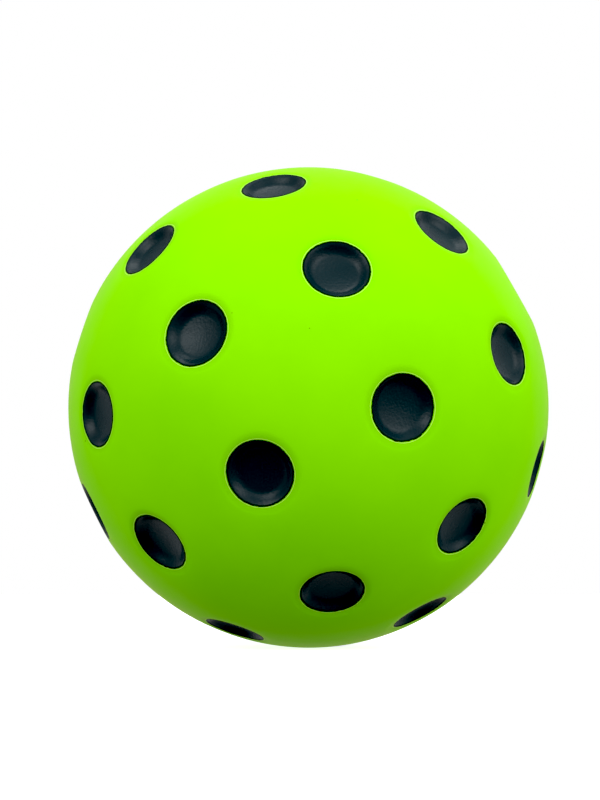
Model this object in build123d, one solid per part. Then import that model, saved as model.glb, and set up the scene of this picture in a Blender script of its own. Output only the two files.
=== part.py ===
"""A quiet foam pickleball ball: a foam core, a moulded skin and one paint coat in each dimple.

Millimetres and degrees. The origin is the centre of the ball and +Z is up. The pattern of
dimples turns about the Y axis: its front pole faces -Y, its rear pole faces +Y, and the two
mould halves meet in the plane y = 0.
"""

import math
import os

from build123d import *

# The ball
BALL_DIAMETER = 74.0
SKIN_THICKNESS = 0.9
COAT_THICKNESS = 0.12

# The raised line where the mould halves meet
PARTING_LINE_WIDTH = 0.5
PARTING_LINE_HEIGHT = 0.06

# One dimple: its diameter and depth are taken at the edge of its lip, and the slopes are
# against the plane of that edge
DIMPLE_DIAMETER = 9.12
DIMPLE_DEPTH = 1.6
LIP_WIDTH = 0.35
LIP_SLOPE = 18.0
LIP_ROUNDING = 0.45
WALL_SLOPE = 48.0
FLOOR_ROUNDING = 0.8
FLOOR_RADIUS = 16.0

# The rings of dimples on one half. Each entry is an angle from the pole and a turn about the
# pole, and stands for a dimple in every quarter.
QUARTERS = 4
QUARTER_TURN = 90.0
HALF_TURN = 180.0
RINGS = {
    "inner": ((23.3, 0.0),),
    "middle": ((52.5, 28.5), (53.8, 68.3)),
    "outer": ((78.4, 3.2), (78.4, 48.2)),
}

# Where each half's rings start, up from +X. The rear half is set so that its outer ring
# stands between the dimples of the front half's.
FRONT_TURN = 69.6
REAR_TURN = FRONT_TURN + 28.9

BALL_RADIUS = BALL_DIAMETER / 2
RIM_RADIUS = DIMPLE_DIAMETER / 2
RIM_HEIGHT = math.sqrt(BALL_RADIUS**2 - RIM_RADIUS**2)

# How far a cutting shape runs past the surface that it cuts
OVERRUN = 0.5
CUT_TOP = BALL_RADIUS - RIM_HEIGHT + OVERRUN
CUT_BOTTOM = -(DIMPLE_DEPTH + SKIN_THICKNESS + OVERRUN)


def along(slope):
    """The unit vector (out, up) of a line that rises away from the dimple's axis."""
    angle = math.radians(slope)
    return math.cos(angle), math.sin(angle)


def shoulder(grow):
    """The corner (out, up) between lip and wall, after both moved into the ball by grow."""
    lip_out, lip_up = along(LIP_SLOPE)
    wall_out, wall_up = along(WALL_SLOPE)
    miter = grow / (1 + lip_out * wall_out + lip_up * wall_up)
    out = RIM_RADIUS - LIP_WIDTH * lip_out + miter * (lip_up + wall_up)
    up = -LIP_WIDTH * lip_up - miter * (lip_out + wall_out)
    return out, up


def dimple_space(grow=0.0):
    """The space in the dimple on +Z, from its round floor to just above the ball.

    Every surface of it is moved into the ball by grow, or out of the ball where grow is
    negative.
    """
    out, up = shoulder(grow)
    lip_out, lip_up = along(LIP_SLOPE)
    wall_out, wall_up = along(WALL_SLOPE)
    lip_run = (CUT_TOP - up) * lip_out / lip_up
    wall_run = (up - CUT_BOTTOM) * wall_out / wall_up
    funnel = Polygon(
        (0, CUT_BOTTOM),
        (out - wall_run, CUT_BOTTOM),
        (out, up),
        (out + lip_run, CUT_TOP),
        (0, CUT_TOP),
        align=None,
    )
    floor = Pos(0, FLOOR_RADIUS - DIMPLE_DEPTH) * Circle(FLOOR_RADIUS + grow)
    profile = funnel & floor
    floor_corner = profile.vertices().sort_by(Axis.Y)[1]
    profile = fillet(floor_corner, FLOOR_ROUNDING + grow)
    if LIP_ROUNDING > grow:
        lip_corner = profile.vertices().sort_by_distance((out, up))[0]
        profile = fillet(lip_corner, LIP_ROUNDING - grow)
    return Pos(0, 0, RIM_HEIGHT) * revolve(Plane.XZ * profile, Axis.Z)


def dimple_places():
    """The place of each dimple, by the name of its coat: it turns +Z towards the dimple."""
    places = {}
    for ring, entries in RINGS.items():
        quarters = [quarter * QUARTER_TURN for quarter in range(QUARTERS)]
        spots = [(angle, quarter + turn) for quarter in quarters for angle, turn in entries]
        for number, (angle, turn) in enumerate(spots, start=1):
            name = f"{ring}_dimple_coat_{number}"
            places[f"front_{name}"] = place(angle, FRONT_TURN + turn)
            places[f"rear_{name}"] = place(HALF_TURN - angle, REAR_TURN - turn)
    return places


def place(angle, turn):
    """The turn of +Z to -Y, then by angle towards +X, then up from +X about the Y axis."""
    return Rot(Y=-turn) * Rot(Z=angle) * Rot(X=QUARTER_TURN)


def ball_outside():
    """The ball without its dimples: a sphere with a low rounded bead round y = 0."""
    bead_side = PARTING_LINE_WIDTH / 2
    bead_foot = math.sqrt(BALL_RADIUS**2 - bead_side**2)
    front_arc = RadiusArc((0, -BALL_RADIUS), (bead_foot, -bead_side), -BALL_RADIUS)
    bead = ThreePointArc(
        (bead_foot, -bead_side),
        (BALL_RADIUS + PARTING_LINE_HEIGHT, 0),
        (bead_foot, bead_side),
    )
    rear_arc = RadiusArc((bead_foot, bead_side), (0, BALL_RADIUS), -BALL_RADIUS)
    pole_line = Line((0, BALL_RADIUS), (0, -BALL_RADIUS))
    return revolve(make_face([front_arc, bead, rear_arc, pole_line]), Axis.Y)


def foam_core(places):
    """The foam inside the skin, hollowed under each dimple."""
    hollow = dimple_space(SKIN_THICKNESS)
    return Sphere(BALL_RADIUS - SKIN_THICKNESS) - [spot * hollow for spot in places]


def outer_skin(places, core):
    """The skin: the dimpled outside of the ball, less the foam inside it."""
    space = dimple_space()
    return ball_outside() - [spot * space for spot in places] - core


def dimple_coat():
    """The paint in the dimple on +Z: an even film from the floor up to the lip's edge."""
    return (dimple_space() & Sphere(BALL_RADIUS)) - dimple_space(-COAT_THICKNESS)


os.makedirs("parts", exist_ok=True)

dimples = dimple_places()
core = foam_core(dimples.values())
skin = outer_skin(dimples.values(), core)
coat = dimple_coat()
export_step(core, "parts/foam_core.step")
export_step(skin, "parts/outer_skin.step")
for node, spot in dimples.items():
    export_step(spot * coat, f"parts/{node}.step")
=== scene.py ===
"""Looks for the quiet foam pickleball ball: moulded skin, painted dimples, foam, floor and light.

Lengths are in metres, in the frame of the CAD model: the ball's centre is the origin, +Z is up
and the poles of the dimple pattern lie on the Y axis. One dimple's profile is worked out in
a plane through its axis, as a height over the plane of its rim at a distance from the axis.
"""

import math
import random

import bmesh
import bpy
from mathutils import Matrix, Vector, noise
from mathutils.geometry import delaunay_2d_cdt


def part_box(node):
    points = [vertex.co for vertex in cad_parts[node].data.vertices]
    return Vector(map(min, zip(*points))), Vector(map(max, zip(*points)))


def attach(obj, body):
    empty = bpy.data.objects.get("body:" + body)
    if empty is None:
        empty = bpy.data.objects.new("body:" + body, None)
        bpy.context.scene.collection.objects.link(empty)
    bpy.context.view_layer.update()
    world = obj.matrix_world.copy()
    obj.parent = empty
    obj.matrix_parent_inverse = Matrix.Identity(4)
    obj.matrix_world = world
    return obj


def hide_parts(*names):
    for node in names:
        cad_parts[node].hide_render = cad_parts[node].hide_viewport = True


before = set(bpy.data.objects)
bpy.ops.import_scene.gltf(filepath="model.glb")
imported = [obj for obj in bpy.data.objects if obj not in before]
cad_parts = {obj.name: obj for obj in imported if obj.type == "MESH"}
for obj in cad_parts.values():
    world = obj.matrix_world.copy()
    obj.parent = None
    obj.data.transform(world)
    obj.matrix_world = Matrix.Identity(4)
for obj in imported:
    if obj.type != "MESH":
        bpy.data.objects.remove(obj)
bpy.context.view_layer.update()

MM = 0.001

# The ball, from the frame
SKIN_NODE = "outer_skin"
CORE_NODE = "foam_core"
COAT_NODES = sorted(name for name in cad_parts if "_dimple_coat_" in name)
skin_low, skin_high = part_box(SKIN_NODE)
core_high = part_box(CORE_NODE)[1]
BALL_RADIUS = skin_high.y
FLOOR_LEVEL = skin_low.z
PARTING_HEIGHT = skin_high.x - BALL_RADIUS
SKIN_THICKNESS = BALL_RADIUS - core_high.y

# One dimple. The angles are against the plane of its rim. A blend is the difference in height
# within which two surfaces merge, so it sets how much their corner is rounded.
RIM_RADIUS = 4.56 * MM
DIMPLE_DEPTH = 1.6 * MM
LIP_WIDTH = 0.1 * MM
LIP_ANGLE = math.radians(18)
WALL_ANGLE = math.radians(46)
FLOOR_RADIUS = 16 * MM
RIM_BLEND = 0.8 * MM
LINING_RIM_BLEND = 0.1 * MM
SHOULDER_BLEND = 0.09 * MM
FLOOR_BLEND = 0.42 * MM
RIM_HEIGHT = math.sqrt(BALL_RADIUS**2 - RIM_RADIUS**2)

# The paint in a dimple: a film pressed a little into the skin, whose face rounds off at its edge
FILM = 0.08 * MM
FILM_ROUNDING = 0.12 * MM
FILM_SEAT = 0.02 * MM

# The paint's edge. It reaches a little further out on the dimples towards -X and +Z. It wanders
# and is ragged, by noise with so many features to the dimple's radius, and it has a few nicks.
# Each dimple's noise is taken from its own place, up to NOISE_PLACES along each axis.
EDGE_RADIUS = 4.55 * MM
EDGE_LEAN = Vector((-0.15, 0, 0.12)) * MM
EDGE_WANDER = 0.05 * MM
WANDER_FEATURES = 1.5
EDGE_RAGGEDNESS = 0.07 * MM
RAGGED_FEATURES = 9
NOISE_PLACES = 50
MOST_NICKS = 5
NICK_DEPTHS = (0.03 * MM, 0.11 * MM)
NICK_WIDTHS = (0.12 * MM, 0.3 * MM)

# Distances in mm at which a dimple's surfaces have a ring of points: from its axis, and for
# the film's edge rings from the paint's edge
SKIN_RINGS = (
    1.4, 2.5, 2.9, 3.3, 3.7, 4.0, 4.2, 4.35, 4.5,
    4.62, 4.74, 4.86, 4.98, 5.1, 5.25, 5.4, 5.6, 5.8,
)
LINING_RINGS = (1.5, 2.4, 2.9, 3.5, 4.1, 4.7, 5.8)
FILM_RINGS = (0.9, 1.8, 2.4, 2.65, 2.85, 3.0, 3.15, 3.3, 3.5, 3.75, 3.95, 4.1)
FILM_EDGE_RINGS = (0.26, 0.19, 0.13, 0.08, 0.045, 0.02)
FILM_BACK_RINGS = (4.2, 3.4, 2.8, 1.4)
DIMPLE_SEGMENTS = 96
LINING_SEGMENTS = 32

# The least room between the paint's edge and the nearest ring of the film's face and of its back
FILM_CLEAR = 0.31 * MM
FILM_BACK_CLEAR = 0.06 * MM

# The raised line where the mould halves meet. Its rows of points are in mm from the plane y = 0.
PARTING_WIDTH = 0.5 * MM
PARTING_ROWS = (-0.5, -0.34, -0.24, -0.16, -0.08, 0.0, 0.08, 0.16, 0.24, 0.34, 0.5)
PARTING_SEGMENTS = 480

# The skin between the dimples has loose points, joined on a flat map. A higher spread means more
# of them. The clearance is how far they stay from dimples and edges, as a share of the distance
# between neighbours.
SKIN_SPREAD = 6
LINING_SPREAD = 5
LOOSE_CLEARANCE = 0.6
LINING_EDGE_SEGMENTS = 120
MAP_TOLERANCE = 1e-7

# How far the foam's uneven shrinkage draws the skin in, and over what lengths. Noise is between
# -1 and 1, so with ALL_IN taken off it no point is pushed out.
SHRINKAGE = 0.012 * MM
LONG_WAVE = 11 * MM
SHORT_WAVE = 4 * MM
SHORT_SHARE = 0.5
SHORT_PLACE = Vector((7, 3, 5))
ALL_IN = 1.5


def soft_min(a, b, blend):
    """The lower of two heights, with the corner between them rounded off."""
    share = min(max(0.5 + 0.5 * (b - a) / blend, 0.0), 1.0)
    return b + (a - b) * share - blend * share * (1 - share)


def soft_max(a, b, blend):
    """The higher of two heights, with the corner between them filled."""
    return -soft_min(-a, -b, blend)


def dimple_height(out, grow=0.0):
    """The height of the dimpled surface, moved into the ball by grow, this far from the axis."""
    rim_blend = RIM_BLEND if grow == 0 else LINING_RIM_BLEND
    ball = math.sqrt((BALL_RADIUS - grow) ** 2 - out**2) - RIM_HEIGHT
    shoulder_out = RIM_RADIUS - LIP_WIDTH * math.cos(LIP_ANGLE)
    shoulder_up = -LIP_WIDTH * math.sin(LIP_ANGLE)
    lip = (out - RIM_RADIUS) * math.tan(LIP_ANGLE) - grow / math.cos(LIP_ANGLE)
    wall = shoulder_up + (out - shoulder_out) * math.tan(WALL_ANGLE) - grow / math.cos(WALL_ANGLE)
    floor = -DIMPLE_DEPTH - grow + out**2 / (2 * (FLOOR_RADIUS + grow))
    hollow = soft_max(floor, soft_min(wall, lip, SHOULDER_BLEND), FLOOR_BLEND)
    return soft_min(ball, hollow, rim_blend)


def dimple_axis(node):
    """The direction from the ball's centre to a dimple: to the middle of its paint in the CAD."""
    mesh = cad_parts[node].data
    mesh.calc_loop_triangles()
    middle = Vector()
    for triangle in mesh.loop_triangles:
        corners = [mesh.vertices[number].co for number in triangle.vertices]
        middle += triangle.area * (corners[0] + corners[1] + corners[2])
    return middle.normalized()


AXES = {node: dimple_axis(node) for node in COAT_NODES}


def half_nodes(side):
    """The coat nodes of one half of the ball: side is -1 in front, 1 behind."""
    return [node for node in COAT_NODES if AXES[node].y * side > 0]


def turn_to(axis):
    """The rotation that brings +Z onto the axis."""
    return Vector((0, 0, 1)).rotation_difference(axis).to_matrix()


def round_axis(turn, outs, heights):
    """A ring of points round a dimple's axis, one for each pair of a distance and a height."""
    points = []
    for step, (out, height) in enumerate(zip(outs, heights)):
        angle = math.tau * step / len(outs)
        local = Vector((out * math.cos(angle), out * math.sin(angle), RIM_HEIGHT + height))
        points.append(turn @ local)
    return points


def even_ring(turn, out, height, segments):
    """A ring of points all at one distance and one height."""
    return round_axis(turn, [out] * segments, [height] * segments)


def shrunk(point):
    """The point drawn in by the uneven shrinkage of the foam under it."""
    long_part = noise.noise(point / LONG_WAVE)
    short_part = noise.noise(point / SHORT_WAVE + SHORT_PLACE)
    pull = long_part + SHORT_SHARE * short_part - ALL_IN
    return point + point.normalized() * SHRINKAGE * pull


class Shell:
    """The points and faces of one mesh, while it is made. Faces look out of the material.

    The faces numbered in rim_faces get the second material of the piece.
    """

    def __init__(self):
        self.points = []
        self.faces = []
        self.rim_faces = range(0)

    def add(self, points):
        """Adds points and gives their numbers."""
        first = len(self.points)
        self.points.extend(points)
        return list(range(first, len(self.points)))

    def open_with(self, centre, ring):
        """Triangles from a new middle point to the ring round it."""
        middle = self.add([centre])[0]
        for one, other in zip(ring, ring[1:] + ring[:1]):
            self.faces.append((middle, one, other))

    def join(self, ring, following):
        """Quads from one ring to the following one."""
        pairs = zip(ring, following, following[1:] + following[:1], ring[1:] + ring[:1])
        self.faces.extend(pairs)

    def close_with(self, centre, ring):
        """Triangles from the ring to a new middle point, looking the other way."""
        middle = self.add([centre])[0]
        for one, other in zip(ring, ring[1:] + ring[:1]):
            self.faces.append((middle, other, one))

    def flip(self):
        """Turns every face over."""
        self.faces = [tuple(reversed(face)) for face in self.faces]

    def take(self, other):
        """Adds all of another shell."""
        shift = len(self.points)
        self.points.extend(other.points)
        self.faces.extend(tuple(number + shift for number in face) for face in other.faces)

    def make(self, name, materials, slot, nodes):
        """The piece: a smooth mesh object that rides on the ball's body and replaces CAD nodes."""
        mesh = bpy.data.meshes.new(name)
        mesh.from_pydata([shrunk(point) for point in self.points], [], self.faces)
        mesh.shade_smooth()
        for material in materials:
            mesh.materials.append(material)
        for number in self.rim_faces:
            mesh.polygons[number].material_index = 1
        piece = bpy.data.objects.new(name, mesh)
        bpy.context.scene.collection.objects.link(piece)
        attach(piece, "root")
        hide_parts(*nodes)
        return piece


def dimple_grid(shell, node, rings, segments, grow):
    """A dimple of the skin, from its middle out onto the ball. Gives its last ring."""
    turn = turn_to(AXES[node])
    previous = None
    for out in rings:
        height = dimple_height(out * MM, grow)
        ring = shell.add(even_ring(turn, out * MM, height, segments))
        if previous is None:
            middle = turn @ Vector((0, 0, RIM_HEIGHT + dimple_height(0, grow)))
            shell.open_with(middle, ring)
        else:
            shell.join(previous, ring)
        previous = ring
    return previous


def hoop(offset, radius, segments):
    """A ring of points round the Y axis, at this offset along it."""
    points = []
    for step in range(segments):
        angle = math.tau * step / segments
        points.append(Vector((radius * math.cos(angle), offset, radius * math.sin(angle))))
    return points


def parting_line(shell):
    """The low rounded bead where the mould halves meet. Gives its front and rear edges."""
    rows = []
    for row in PARTING_ROWS:
        offset = row * MM
        across = min(abs(offset) / (PARTING_WIDTH / 2), 1.0)
        radius = math.sqrt(BALL_RADIUS**2 - offset**2) + PARTING_HEIGHT * (1 - across**2) ** 2
        rows.append(shell.add(hoop(offset, radius, PARTING_SEGMENTS)))
    for row, following in zip(rows, rows[1:]):
        shell.join(row, following)
    return rows[0], rows[-1]


def ball_directions(spread):
    """Directions spread evenly over a ball, and the angle between neighbours."""
    ball = bmesh.new()
    bmesh.ops.create_icosphere(ball, subdivisions=spread, radius=1.0)
    directions = [vert.co.normalized() for vert in ball.verts]
    spacing = sum(edge.calc_length() for edge in ball.edges) / len(ball.edges)
    ball.free()
    return directions, spacing


def chart(point, side):
    """The point on a flat map of its half of the ball, which keeps circles round."""
    direction = point.normalized()
    return Vector((direction.x, direction.z)) / (1 + side * direction.y)


def fill_half(shell, side, edge, holes, radius, spread):
    """Triangles between the dimples of one half of the ball: side is -1 in front, 1 behind.

    The half's points are joined into triangles on a flat map, and those inside a hole are left out.
    """
    directions, spacing = ball_directions(spread)
    clear = LOOSE_CLEARANCE * spacing
    hole_reach = math.cos(math.asin(SKIN_RINGS[-1] * MM / radius) + clear)
    edge_reach = abs(shell.points[edge[0]].y) / radius + clear
    axes = [AXES[node] for node in half_nodes(side)]
    loose = []
    for direction in directions:
        past_edge = direction.y * side > edge_reach
        if past_edge and max(direction.dot(axis) for axis in axes) < hole_reach:
            loose.append(direction * radius)
    numbers = list(edge)
    owners = [None] * len(edge)
    for owner, hole in enumerate(holes):
        numbers.extend(hole)
        owners.extend([owner] * len(hole))
    numbers.extend(shell.add(loose))
    owners.extend([None] * len(loose))
    flat = [chart(shell.points[number], side) for number in numbers]
    _, _, triangles, origins, _, _ = delaunay_2d_cdt(flat, [], [], 0, MAP_TOLERANCE)
    for face in triangles:
        corners = [origins[corner][0] for corner in face]
        owner = owners[corners[0]]
        if owner is not None and all(owners[corner] == owner for corner in corners):
            continue
        triangle = [numbers[corner] for corner in corners]
        first, second, third = (shell.points[number] for number in triangle)
        if (second - first).cross(third - first).dot(first) < 0:
            triangle.reverse()
        shell.faces.append(tuple(triangle))


def dimple_holes(shell, side, rings, segments, grow):
    """All dimples of one half of the ball. Gives their last rings."""
    return [dimple_grid(shell, node, rings, segments, grow) for node in half_nodes(side)]


def skin_outside():
    """The outside of the skin."""
    shell = Shell()
    edges = parting_line(shell)
    for side, edge in zip((-1, 1), edges):
        holes = dimple_holes(shell, side, SKIN_RINGS, DIMPLE_SEGMENTS, 0)
        fill_half(shell, side, edge, holes, BALL_RADIUS, SKIN_SPREAD)
    return shell


def skin_lining():
    """The inside of the skin, against the foam."""
    shell = Shell()
    radius = BALL_RADIUS - SKIN_THICKNESS
    edge = shell.add(hoop(0, radius, LINING_EDGE_SEGMENTS))
    for side in (-1, 1):
        holes = dimple_holes(shell, side, LINING_RINGS, LINING_SEGMENTS, SKIN_THICKNESS)
        fill_half(shell, side, edge, holes, radius, LINING_SPREAD)
    shell.flip()
    return shell


def edge_radius(axis):
    """The distance of the paint's edge from this dimple's axis, taken all the way round."""
    return EDGE_RADIUS + EDGE_LEAN.dot(axis)


def mark_edges(piece):
    """Stores, at each point, how far outside the nearest dimple's paint it is, in mm."""
    axes = list(AXES.values())
    attribute = piece.data.attributes.new("past_paint", "FLOAT", "POINT")
    values = []
    for vertex in piece.data.vertices:
        axis = max(axes, key=vertex.co.dot)
        nearness = vertex.co.dot(axis)
        out = math.sqrt(max(vertex.co.length_squared - nearness**2, 0.0))
        values.append((out - edge_radius(axis)) / MM)
    attribute.data.foreach_set("value", values)


def paint_edge(chance, radius):
    """The distance of the paint's edge from the axis, all the way round one dimple."""
    place = Vector([chance.uniform(0, NOISE_PLACES) for _ in range(3)])
    nicks = []
    for _ in range(chance.randint(1, MOST_NICKS)):
        depth = chance.uniform(*NICK_DEPTHS)
        width = chance.uniform(*NICK_WIDTHS)
        nicks.append((chance.uniform(0, math.tau), depth, width))
    edge = []
    for step in range(DIMPLE_SEGMENTS):
        angle = math.tau * step / DIMPLE_SEGMENTS
        spot = Vector((math.cos(angle), math.sin(angle), 0))
        out = radius
        out += EDGE_WANDER * noise.noise(spot * WANDER_FEATURES + place)
        out += EDGE_RAGGEDNESS * noise.noise(spot * RAGGED_FEATURES + place)
        for middle, depth, width in nicks:
            away = abs(math.remainder(angle - middle, math.tau)) * radius
            out -= depth * max(1 - (away / width) ** 2, 0.0)
        edge.append(out)
    return edge


def film_height(out, edge):
    """The height of the paint's face: an even film that rounds off at its edge."""
    share = min((edge - out) / FILM_ROUNDING, 1.0)
    return dimple_height(out) + FILM * math.sqrt(share * (2 - share))


def squeezed(out, last, edge, clear):
    """A ring's distances, drawn in where the last ring would come too near to the edge."""
    return [out * MM * min((rim - clear) / (last * MM), 1.0) for rim in edge]


def film_rings(edge):
    """The distances and heights of a film's rings: over its face, round its edge, then behind."""
    rings = []
    for out in FILM_RINGS:
        outs = squeezed(out, FILM_RINGS[-1], edge, FILM_CLEAR)
        rings.append((outs, [dimple_height(place) + FILM for place in outs]))
    for inset in FILM_EDGE_RINGS:
        outs = [rim - inset * MM for rim in edge]
        rings.append((outs, [film_height(out, rim) for out, rim in zip(outs, edge)]))
    rings.append((edge, [dimple_height(rim) - FILM_SEAT / 2 for rim in edge]))
    for out in FILM_BACK_RINGS:
        outs = squeezed(out, FILM_BACK_RINGS[0], edge, FILM_BACK_CLEAR)
        rings.append((outs, [dimple_height(place) - FILM_SEAT for place in outs]))
    return rings


def paint_film(node, seed):
    """The paint in one dimple, as a closed film whose back is pressed into the skin."""
    turn = turn_to(AXES[node])
    rings = film_rings(paint_edge(random.Random(seed), edge_radius(AXES[node])))
    shell = Shell()
    previous = shell.add(round_axis(turn, *rings[0]))
    shell.open_with(turn @ Vector((0, 0, RIM_HEIGHT + dimple_height(0) + FILM)), previous)
    for outs, heights in rings[1:]:
        ring = shell.add(round_axis(turn, outs, heights))
        shell.join(previous, ring)
        previous = ring
    shell.close_with(turn @ Vector((0, 0, RIM_HEIGHT + dimple_height(0) - FILM_SEAT)), previous)
    # The rim is all that lies outside the first of the edge rings
    rim_start = DIMPLE_SEGMENTS * (len(FILM_RINGS) + 1)
    shell.rim_faces = range(rim_start, rim_start + DIMPLE_SEGMENTS * len(FILM_EDGE_RINGS))
    return shell


# Materials. Noise lies mostly within these spans.
NOISE_SPAN = (0.35, 0.65)
WIDE_NOISE_SPAN = (0.3, 0.7)


def new_material(name):
    """A material with its node tree and its shader."""
    material = bpy.data.materials.new(name)
    material.use_nodes = True
    return material, material.node_tree, material.node_tree.nodes["Principled BSDF"]


def texture(tree, kind, size, **settings):
    """A texture over the object's own coordinates, with features of this size in metres."""
    place = tree.nodes.new("ShaderNodeTexCoord")
    node = tree.nodes.new(kind)
    node.inputs["Scale"].default_value = 1 / size
    for name, value in settings.items():
        node.inputs[name].default_value = value
    tree.links.new(place.outputs["Object"], node.inputs["Vector"])
    return node


def remap(tree, source, span, result):
    """A value taken from one span to another, and held inside it."""
    node = tree.nodes.new("ShaderNodeMapRange")
    node.inputs["From Min"].default_value = span[0]
    node.inputs["From Max"].default_value = span[1]
    node.inputs["To Min"].default_value = result[0]
    node.inputs["To Max"].default_value = result[1]
    tree.links.new(source, node.inputs["Value"])
    return node.outputs["Result"]


def calculate(tree, operation, first, second=None):
    """An operation on one or two values, each a number or another node's output."""
    node = tree.nodes.new("ShaderNodeMath")
    node.operation = operation
    for socket, value in zip(node.inputs, (first, second)):
        if isinstance(value, bpy.types.NodeSocket):
            tree.links.new(value, socket)
        elif value is not None:
            socket.default_value = value
    return node.outputs[0]


def past_paint(tree):
    """How far outside the paint of the nearest dimple the surface is, in mm."""
    node = tree.nodes.new("ShaderNodeAttribute")
    node.attribute_name = "past_paint"
    return node.outputs["Fac"]


def blend_colours(tree, share, first, second):
    """Two colours mixed by a share. Each is a plain colour or another node's output."""
    node = tree.nodes.new("ShaderNodeMix")
    node.data_type = "RGBA"
    tree.links.new(share, node.inputs["Factor"])
    for socket, colour in ((node.inputs[6], first), (node.inputs[7], second)):
        if isinstance(colour, tuple):
            socket.default_value = (*colour, 1)
        else:
            tree.links.new(colour, socket)
    return node.outputs[2]


def bump(tree, source, height, below=None):
    """Relief of this height in metres, on top of other relief."""
    node = tree.nodes.new("ShaderNodeBump")
    node.inputs["Distance"].default_value = height
    tree.links.new(source, node.inputs["Height"])
    if below is not None:
        tree.links.new(below, node.inputs["Normal"])
    return node.outputs["Normal"]


def noise_relief(tree, size, detail, height, below=None):
    """Relief with noise's features of this size, on top of other relief."""
    source = texture(tree, "ShaderNodeTexNoise", size, Detail=detail)
    return bump(tree, source.outputs[0], height, below)


# The skin. The span of painted shade, the painted highlight line's place and its fading are in mm
# outside the paint.
LIME = (0.268, 0.84, 0.0)
LIME_DEEP = (0.25, 0.805, 0.0)
LIME_SHADED = (0.223, 0.705, 0.0)
LIME_PAINTED_HIGHLIGHT = (0.56, 0.93, 0.17)
LIME_SHINE = (0.35, 1.0, 0.0, 1.0)
LIME_SHEEN = (1.0, 0.88, 0.25, 1.0)
LIME_CLOUD = 14 * MM
SHADED_SPAN = (0.15, 1.05)
HIGHLIGHT_LINE = 0.12
HIGHLIGHT_LINE_FADE = (0.025, 0.08)
HIGHLIGHT_LINE_STRENGTH = 0.7
SPECK = (0.05, 0.09, 0.01)
SPECK_CELL = 7 * MM
SPECK_FADE = (0.01, 0.018)
SKIN_ROUGHNESS = (0.36, 0.42)
SKIN_PATCH = 5 * MM
SKIN_GLOSS = 0.02
SHEEN_WEIGHT = 0.3
SHEEN_ROUGHNESS = 0.26
SKIN_RIPPLE = 1.6 * MM
SKIN_RIPPLE_HEIGHT = 0.01 * MM
SKIN_GRAIN = 0.25 * MM
SKIN_GRAIN_HEIGHT = 0.012 * MM


def skin_material():
    """Smooth moulded polyurethane in bright lime, faintly clouded, with a few dark specks.

    Near the dark paint the skin is a little darker: painted shade round each dimple, for light that
    scatters inside the skin and is lost in the paint. A pale line, a painted highlight where the
    lip catches grazing light, runs just outside the paint.
    """
    material, tree, shader = new_material("lime_skin")
    clouds = texture(tree, "ShaderNodeTexNoise", LIME_CLOUD, Detail=3.0)
    deep = remap(tree, clouds.outputs[0], NOISE_SPAN, (0, 1))
    colour = blend_colours(tree, deep, LIME, LIME_DEEP)
    # Painted shade: the skin is darker just outside the paint of each dimple
    shade = remap(tree, past_paint(tree), SHADED_SPAN, (1, 0))
    colour = blend_colours(tree, shade, colour, LIME_SHADED)
    # Painted highlight: a pale line just outside the paint, where the lip catches grazing light
    off_line = calculate(tree, "ABSOLUTE", calculate(tree, "SUBTRACT", past_paint(tree), HIGHLIGHT_LINE))
    line = remap(tree, off_line, HIGHLIGHT_LINE_FADE, (HIGHLIGHT_LINE_STRENGTH, 0))
    colour = blend_colours(tree, line, colour, LIME_PAINTED_HIGHLIGHT)
    cells = texture(tree, "ShaderNodeTexVoronoi", SPECK_CELL)
    specks = remap(tree, cells.outputs["Distance"], SPECK_FADE, (1, 0))
    colour = blend_colours(tree, specks, colour, SPECK)
    tree.links.new(colour, shader.inputs["Base Color"])
    patches = texture(tree, "ShaderNodeTexNoise", SKIN_PATCH, Detail=4.0)
    roughness = remap(tree, patches.outputs[0], WIDE_NOISE_SPAN, SKIN_ROUGHNESS)
    tree.links.new(roughness, shader.inputs["Roughness"])
    shader.inputs["Specular Tint"].default_value = LIME_SHINE
    shader.inputs["Specular IOR Level"].default_value = SKIN_GLOSS
    shader.inputs["Sheen Weight"].default_value = SHEEN_WEIGHT
    shader.inputs["Sheen Roughness"].default_value = SHEEN_ROUGHNESS
    shader.inputs["Sheen Tint"].default_value = LIME_SHEEN
    relief = noise_relief(tree, SKIN_RIPPLE, 2.0, SKIN_RIPPLE_HEIGHT)
    relief = noise_relief(tree, SKIN_GRAIN, 3.0, SKIN_GRAIN_HEIGHT, relief)
    tree.links.new(relief, shader.inputs["Normal"])
    return material


# The paint: satin on its face and matt on its rim. Its colour changes towards the edge over a
# span in mm outside the paint's edge, so the numbers are negative.
TEAL = (0.0038, 0.0195, 0.025)
TEAL_DEEP = (0.003, 0.0175, 0.0226)
TEAL_EDGE = (0.001, 0.016, 0.002)
TEAL_CLOUD = 2.5 * MM
TEAL_EDGE_SPAN = (-0.34, -0.14)
PAINT_ROUGHNESS = (0.24, 0.3)
FACE_GLOSS = 0.178
RIM_GLOSS = 0.02
PAINT_SWELL = 1.2 * MM
PAINT_SWELL_HEIGHT = 0.015 * MM
PAINT_PEBBLE = 0.35 * MM
PAINT_PEBBLE_HEIGHT = 0.045 * MM


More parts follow.
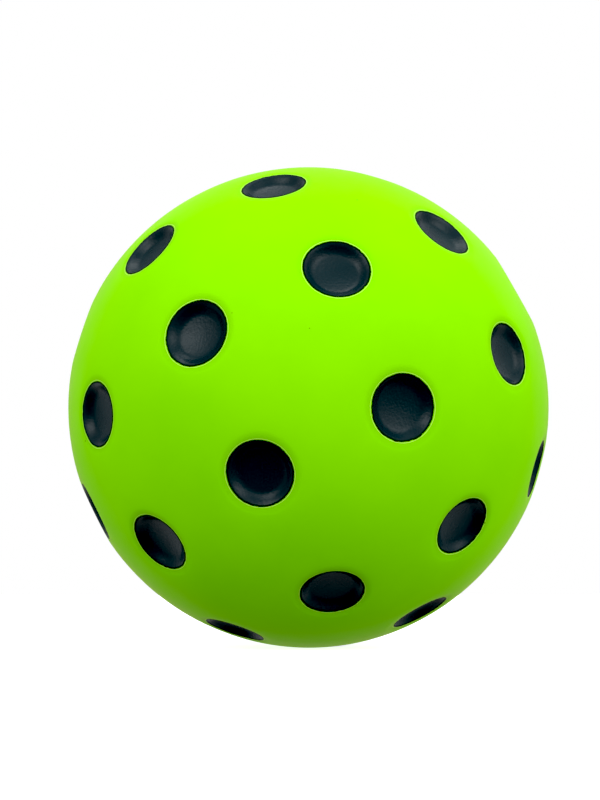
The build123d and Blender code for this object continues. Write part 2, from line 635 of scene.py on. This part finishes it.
def paint_material(name, gloss):
    """Dark teal paint with a fine pebbled face and this specular level."""
    material, tree, shader = new_material(name)
    clouds = texture(tree, "ShaderNodeTexNoise", TEAL_CLOUD, Detail=3.0)
    deep = remap(tree, clouds.outputs[0], NOISE_SPAN, (0, 1))
    colour = blend_colours(tree, deep, TEAL, TEAL_DEEP)
    at_edge = remap(tree, past_paint(tree), TEAL_EDGE_SPAN, (0, 1))
    colour = blend_colours(tree, at_edge, colour, TEAL_EDGE)
    tree.links.new(colour, shader.inputs["Base Color"])
    roughness = remap(tree, clouds.outputs[0], WIDE_NOISE_SPAN, PAINT_ROUGHNESS)
    tree.links.new(roughness, shader.inputs["Roughness"])
    shader.inputs["Specular IOR Level"].default_value = gloss
    relief = noise_relief(tree, PAINT_SWELL, 2.0, PAINT_SWELL_HEIGHT)
    relief = noise_relief(tree, PAINT_PEBBLE, 4.0, PAINT_PEBBLE_HEIGHT, relief)
    tree.links.new(relief, shader.inputs["Normal"])
    return material


# The foam: each cell is darker, a painted shade in its hollow, and smoother in the middle, over a
# span that is a share of a cell
FOAM = (0.74, 0.68, 0.48)
FOAM_CELL_SHADE = (0.56, 0.5, 0.33)
CELL_SIZE = 0.7 * MM
CELL_SPAN = (0.0, 0.6)
CELL_HEIGHT = 0.12 * MM
FOAM_ROUGHNESS = (0.85, 0.7)


def foam_material():
    """Pale expanded foam with closed cells, each darker in its hollow by painted shade."""
    material, tree, shader = new_material("pale_foam")
    cells = texture(tree, "ShaderNodeTexVoronoi", CELL_SIZE).outputs["Distance"]
    # Painted shade: each cell is darker in its sunken middle, where the bump is lowest
    in_cell = remap(tree, cells, CELL_SPAN, (1, 0))
    tree.links.new(blend_colours(tree, in_cell, FOAM, FOAM_CELL_SHADE), shader.inputs["Base Color"])
    tree.links.new(remap(tree, in_cell, (0, 1), FOAM_ROUGHNESS), shader.inputs["Roughness"])
    tree.links.new(bump(tree, cells, CELL_HEIGHT), shader.inputs["Normal"])
    return material


# Light, floor and camera

# How bright the surroundings are, from straight down to straight up
SURROUNDINGS = ((-1.0, 0.12), (-0.85, 0.04), (-0.4, 0.0), (0.0, 0.0), (1.0, 0.28))

# Soft lamps: azimuth and elevation in degrees, brightness, and how narrow the lamp is.
# Azimuth 0 is in front of the ball, towards -Y, and 90 is towards +X.
LAMPS = (
    (-39, 28, 5.5, 22),
    (50, 25, 4.3, 13),
    (-2, 28, 1.6, 25),
    (5, 5, 0.27, 15),
    (-25, 76, 0.9, 25),
    (180, 88, 3.0, 21),
    (90, 4, 0.42, 4.4),
    (-90, 4, 0.38, 4.2),
    (130, 34, 0.8, 20),
    (240, -25, 0.6, 20),
    (115, -30, 0.4, 20),
    (182, -82, 0.32, 10),
    (182, 0, 0.5, 1.3),
)
WHITE = (1, 1, 1, 1)

# The brightest value that the view shows as black
BLACK_LEVEL = 0.014

# The floor, which glows softly
FLOOR_EXTENT = 6.0
FLOOR_SEGMENTS = 96
FLOOR_COLOUR = (0.75, 0.75, 0.75, 1)
FLOOR_ROUGHNESS = 0.9
FLOOR_GLOW = 0.85

# The camera's place, and how far it is turned past the ball's middle, in degrees. LENS is in mm.
CAMERA_DISTANCE = 5.397 * BALL_RADIUS
CAMERA_AZIMUTH = 2.08
CAMERA_ELEVATION = -8.31
AIM_LEFT = 0.37
AIM_UP = 0.32
LENS = 57.35
CLIP_START = 0.01


def towards(azimuth, elevation):
    """The unit vector from the ball towards a place round it."""
    turn = math.radians(azimuth)
    rise = math.radians(elevation)
    level = math.cos(rise)
    return Vector((math.sin(turn) * level, -math.cos(turn) * level, math.sin(rise)))


def add_floor():
    """A wide pale floor, which only the camera sees: the surroundings light the ball from below."""
    bpy.ops.mesh.primitive_circle_add(
        vertices=FLOOR_SEGMENTS, radius=FLOOR_EXTENT, fill_type="NGON"
    )
    floor = bpy.context.object
    floor.name = "studio_floor"
    floor.location.z = FLOOR_LEVEL
    floor.visible_diffuse = False
    floor.visible_glossy = False
    floor.visible_shadow = False
    material, _, shader = new_material("pale_floor")
    shader.inputs["Base Color"].default_value = FLOOR_COLOUR
    shader.inputs["Roughness"].default_value = FLOOR_ROUGHNESS
    shader.inputs["Specular IOR Level"].default_value = 0.0
    shader.inputs["Emission Color"].default_value = WHITE
    shader.inputs["Emission Strength"].default_value = FLOOR_GLOW
    floor.data.materials.append(material)


def studio_light(tree):
    """The brightness of faint surroundings with a few soft lamps in them, by direction."""
    place = tree.nodes.new("ShaderNodeTexCoord").outputs["Generated"]
    split = tree.nodes.new("ShaderNodeSeparateXYZ")
    tree.links.new(place, split.inputs[0])
    ramp = tree.nodes.new("ShaderNodeValToRGB")
    stops = ramp.color_ramp.elements
    while len(stops) < len(SURROUNDINGS):
        stops.new(0.5)
    for stop, (height, level) in zip(stops, SURROUNDINGS):
        stop.position = (height + 1) / 2
        stop.color = (level, level, level, 1)
    tree.links.new(remap(tree, split.outputs["Z"], (-1, 1), (0, 1)), ramp.inputs[0])
    light = ramp.outputs[0]
    for azimuth, elevation, level, narrowness in LAMPS:
        facing = tree.nodes.new("ShaderNodeVectorMath")
        facing.operation = "DOT_PRODUCT"
        facing.inputs[1].default_value = towards(azimuth, elevation)
        tree.links.new(place, facing.inputs[0])
        away = calculate(tree, "SUBTRACT", facing.outputs["Value"], 1.0)
        fall = calculate(tree, "EXPONENT", calculate(tree, "MULTIPLY", away, narrowness))
        light = calculate(tree, "ADD", light, calculate(tree, "MULTIPLY", fall, level))
    return light


def add_world():
    """The studio: plain white to the camera, and the studio's light to everything else."""
    world = bpy.data.worlds.new("studio")
    bpy.context.scene.world = world
    world.use_nodes = True
    tree = world.node_tree
    lit = tree.nodes["Background"]
    lit.inputs["Color"].default_value = WHITE
    tree.links.new(studio_light(tree), lit.inputs["Strength"])
    white = tree.nodes.new("ShaderNodeBackground")
    white.inputs["Color"].default_value = WHITE
    white.inputs["Strength"].default_value = 1.0
    path = tree.nodes.new("ShaderNodeLightPath")
    chosen = tree.nodes.new("ShaderNodeMixShader")
    tree.links.new(path.outputs["Is Camera Ray"], chosen.inputs[0])
    tree.links.new(lit.outputs[0], chosen.inputs[1])
    tree.links.new(white.outputs[0], chosen.inputs[2])
    tree.links.new(chosen.outputs[0], tree.nodes["World Output"].inputs["Surface"])


def add_camera():
    """The camera, a little below the ball's middle and turned slightly past it."""
    data = bpy.data.cameras.new("camera")
    data.lens = LENS
    data.clip_start = CLIP_START
    camera = bpy.data.objects.new("camera", data)
    bpy.context.scene.collection.objects.link(camera)
    camera.location = towards(CAMERA_AZIMUTH, CAMERA_ELEVATION) * CAMERA_DISTANCE
    tilt = math.radians(90 - CAMERA_ELEVATION + AIM_UP)
    camera.rotation_euler = (tilt, 0, math.radians(CAMERA_AZIMUTH + AIM_LEFT))
    bpy.context.scene.camera = camera


shell = skin_outside()
shell.take(skin_lining())
skin = shell.make("moulded_skin", [skin_material()], "skin", [SKIN_NODE])
mark_edges(skin)

paints = [paint_material("teal_paint", FACE_GLOSS), paint_material("teal_paint_rim", RIM_GLOSS)]
for seed, node in enumerate(COAT_NODES):
    name = node.replace("coat", "paint")
    mark_edges(paint_film(node, seed).make(name, paints, "dimple_coat", [node]))

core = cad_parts[CORE_NODE]
core.material_slots[0].material = foam_material()

add_floor()
add_world()
add_camera()
settings = bpy.context.scene.view_settings
settings.view_transform = "Standard"
settings.use_curve_mapping = True
settings.curve_mapping.black_level = [BLACK_LEVEL] * 3
settings.curve_mapping.update()
